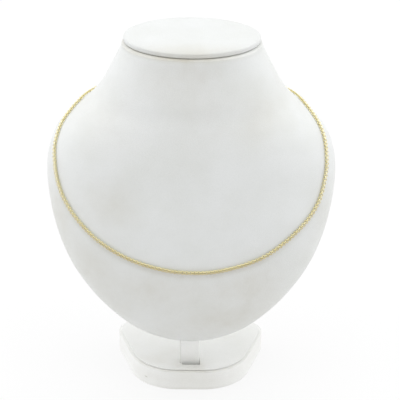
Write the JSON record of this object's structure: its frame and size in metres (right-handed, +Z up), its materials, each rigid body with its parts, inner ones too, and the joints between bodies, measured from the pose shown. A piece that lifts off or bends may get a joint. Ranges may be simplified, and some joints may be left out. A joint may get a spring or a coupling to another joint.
{
  "type": "cable chain necklace on a neck bust",
  "caption": "Fine pale gold cable chain with a bolt ring clasp, lying round a white leatherette neck bust that has a padded neck cap, a short post and a rounded base.",
  "frame": {"origin": "middle of the base's underside, on the floor that the stand rests on", "axes": "+Z up, -Y towards the front, where the chain hangs lowest, and +X to the right as seen from the front"},
  "size_m": [0.168, 0.0883, 0.2093],
  "materials": {
    "gold": "polished pale yellow gold",
    "leatherette": "fine-grained white leatherette with a soft satin sheen"
  },
  "bodies": {
    "root": {"chain": "gold", "clasp": "gold", "bust": "leatherette", "neck_cap": "leatherette", "post": "leatherette", "base": "leatherette", "base_panel": "leatherette"}
  },
  "joints": []
}
